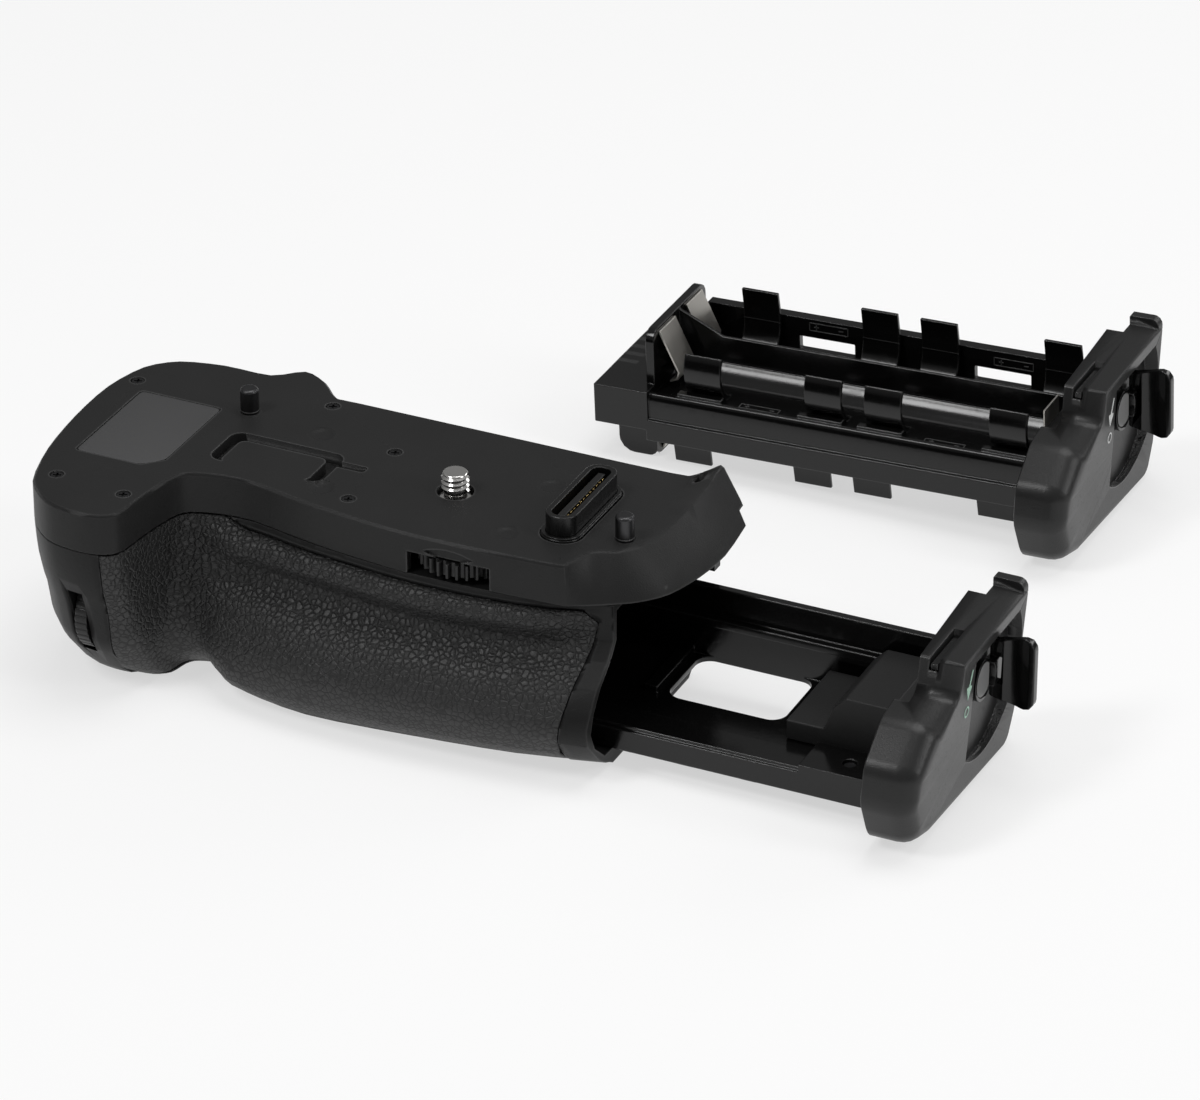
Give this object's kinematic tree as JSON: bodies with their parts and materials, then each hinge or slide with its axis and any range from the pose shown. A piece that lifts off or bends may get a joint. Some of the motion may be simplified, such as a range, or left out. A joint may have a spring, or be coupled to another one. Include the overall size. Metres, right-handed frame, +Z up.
{
  "type": "camera battery grip",
  "caption": "Battery grip for the base of a camera: moulded hand grip with camera screw, pull-out battery tray and a spare tray for round cells.",
  "frame": {"origin": "camera screw axis on the face that meets the camera", "axes": "+Z up out of the grip along the camera screw, +X towards the tray mouth, +Y towards the back of the camera"},
  "size_m": [0.227, 0.2056, 0.056],
  "materials": {
    "charcoal": "fine moulded texture",
    "gloss_black": "polished",
    "rubber": "leather grain",
    "nickel": "nickel plate",
    "brass": "plain",
    "grey_disc": "matte",
    "board": "solder mask"
  },
  "bodies": {
    "grip": {"top_cover": "charcoal", "main_housing": "charcoal", "front_grip_rubber": "rubber", "rear_grip_rubber": "rubber", "base_pad": "rubber", "tripod_socket": "nickel", "cover_screws": "nickel", "locating_pins": "gloss_black", "connector_shroud": "gloss_black", "connector_seal": "rubber", "connector_insert": "charcoal", "connector_contacts": "brass", "circuit_board": "board", "chamber_contacts": "brass", "wheel_axle": "nickel", "screw_bush": "brass", "front_dial_axle": "nickel", "rear_dial_axle": "nickel", "shutter_switch": "charcoal", "rear_button_switch": "charcoal"},
    "attachment_wheel": {"attachment_wheel": "gloss_black"},
    "camera_screw": {"camera_screw": "nickel", "screw_pinion": "brass", "screw_clip": "nickel"},
    "front_dial": {"front_dial": "gloss_black"},
    "rear_dial": {"rear_dial": "gloss_black"},
    "shutter_button": {"shutter_button": "gloss_black"},
    "shutter_lock_ring": {"shutter_lock_ring": "charcoal"},
    "rear_button": {"rear_button": "gloss_black"},
    "selector_ring": {"selector_ring": "charcoal"},
    "selector_cap": {"selector_cap": "gloss_black"},
    "tray": {"tray_frame": "gloss_black", "tray_cap": "charcoal", "tray_contacts": "brass", "tray_screw": "nickel"},
    "release_slider": {"release_slider": "gloss_black"},
    "tray_latch": {"tray_latch_hub": "gloss_black", "tray_latch_disc": "grey_disc", "tray_key_pin": "nickel"},
    "tray_key": {"tray_latch_key": "gloss_black"},
    "tray_bolt": {"tray_latch_bolt": "gloss_black"},
    "cell_tray": {"cell_frame": "gloss_black", "cell_cap": "charcoal", "cell_springs": "nickel", "cell_plates": "nickel", "cell_contacts": "brass"},
    "cell_latch": {"cell_latch_hub": "gloss_black", "cell_latch_disc": "grey_disc", "cell_key_pin": "nickel"},
    "cell_key": {"cell_latch_key": "gloss_black"},
    "cell_bolt": {"cell_latch_bolt": "gloss_black"}
  },
  "joints": [
    {"name": "wheel_turn", "type": "hinge", "parent": "grip", "child": "attachment_wheel", "pos_m": [0.0088, -0.01178, -0.008], "axis": [0, 0, 1], "continuous": true},
    {"name": "screw_turn", "type": "hinge", "parent": "grip", "child": "camera_screw", "pos_m": [0, 0, 0], "axis": [0, 0, 1], "continuous": true},
    {"name": "front_dial_turn", "type": "hinge", "parent": "grip", "child": "front_dial", "pos_m": [-0.0742, -0.03018, -0.031], "axis": [1, 0, 0], "continuous": true},
    {"name": "rear_dial_turn", "type": "hinge", "parent": "grip", "child": "rear_dial", "pos_m": [-0.083, 0.0246, -0.018], "axis": [1, 0, 0], "continuous": true},
    {"name": "shutter_press", "type": "slide", "parent": "grip", "child": "shutter_button", "axis": [1, 0, 0], "range_m": [0, 0.001], "stiffness_N_per_m": 500},
    {"name": "lock_ring_turn", "type": "hinge", "parent": "grip", "child": "shutter_lock_ring", "pos_m": [-0.0882, -0.014, -0.022], "axis": [-1, 0, 0], "range_deg": [0, 30]},
    {"name": "rear_button_press", "type": "slide", "parent": "grip", "child": "rear_button", "axis": [0, -1, 0], "range_m": [0, 0.0008], "stiffness_N_per_m": 500},
    {"name": "selector_tip_up", "type": "hinge", "parent": "grip", "child": "selector_ring", "pos_m": [-0.0695, 0.0285, -0.019], "axis": [1, 0, 0], "range_deg": [-8, 8], "stiffness_Nm_per_rad": 0.05},
    {"name": "selector_tip_side", "type": "hinge", "parent": "selector_ring", "child": "selector_cap", "pos_m": [-0.0695, 0.0285, -0.019], "axis": [0, 0, 1], "range_deg": [-8, 8], "stiffness_Nm_per_rad": 0.05},
    {"name": "tray_slide", "type": "slide", "parent": "grip", "child": "tray", "axis": [1, 0, 0], "range_m": [-0.0648, 0.045]},
    {"name": "release_press", "type": "slide", "parent": "tray", "child": "release_slider", "axis": [1, 0, 0], "range_m": [0, 0.0025], "stiffness_N_per_m": 300},
    {"name": "tray_latch_turn", "type": "hinge", "parent": "tray", "child": "tray_latch", "pos_m": [0.1248, 0.012, -0.0245], "axis": [1, 0, 0], "range_deg": [-90, 0]},
    {"name": "tray_key_fold", "type": "hinge", "parent": "tray_latch", "child": "tray_key", "pos_m": [0.1224, 0.0184, -0.0245], "axis": [0, 0, 1], "range_deg": [0, 90]},
    {"name": "tray_bolt_lift", "type": "slide", "parent": "tray", "child": "tray_bolt", "axis": [0, 0, 1], "range_m": [0, 0.0036]},
    {"name": "cell_tray_lift", "type": "slide", "parent": "grip", "child": "cell_tray", "axis": [0, 0, 1], "range_m": [0, 0.15]},
    {"name": "cell_latch_turn", "type": "hinge", "parent": "cell_tray", "child": "cell_latch", "pos_m": [0.10767, 0.1414, -0.02397], "axis": [0.9992, 0, 0.04], "range_deg": [-90, 0]},
    {"name": "cell_key_fold", "type": "hinge", "parent": "cell_latch", "child": "cell_key", "pos_m": [0.10527, 0.1478, -0.02406], "axis": [-0.04, 0, 0.9992], "range_deg": [0, 90]},
    {"name": "cell_bolt_lift", "type": "slide", "parent": "cell_tray", "child": "cell_bolt", "axis": [-0.04, 0, 0.9992], "range_m": [0, 0.0036]}
  ],
  "couplings": [
    {"joint": "screw_turn", "follows": "wheel_turn", "ratio": -2.5},
    {"joint": "tray_latch_turn", "follows": "tray_bolt_lift", "rad_per_m": -436.3},
    {"joint": "cell_latch_turn", "follows": "cell_bolt_lift", "rad_per_m": -436.3}
  ]
}
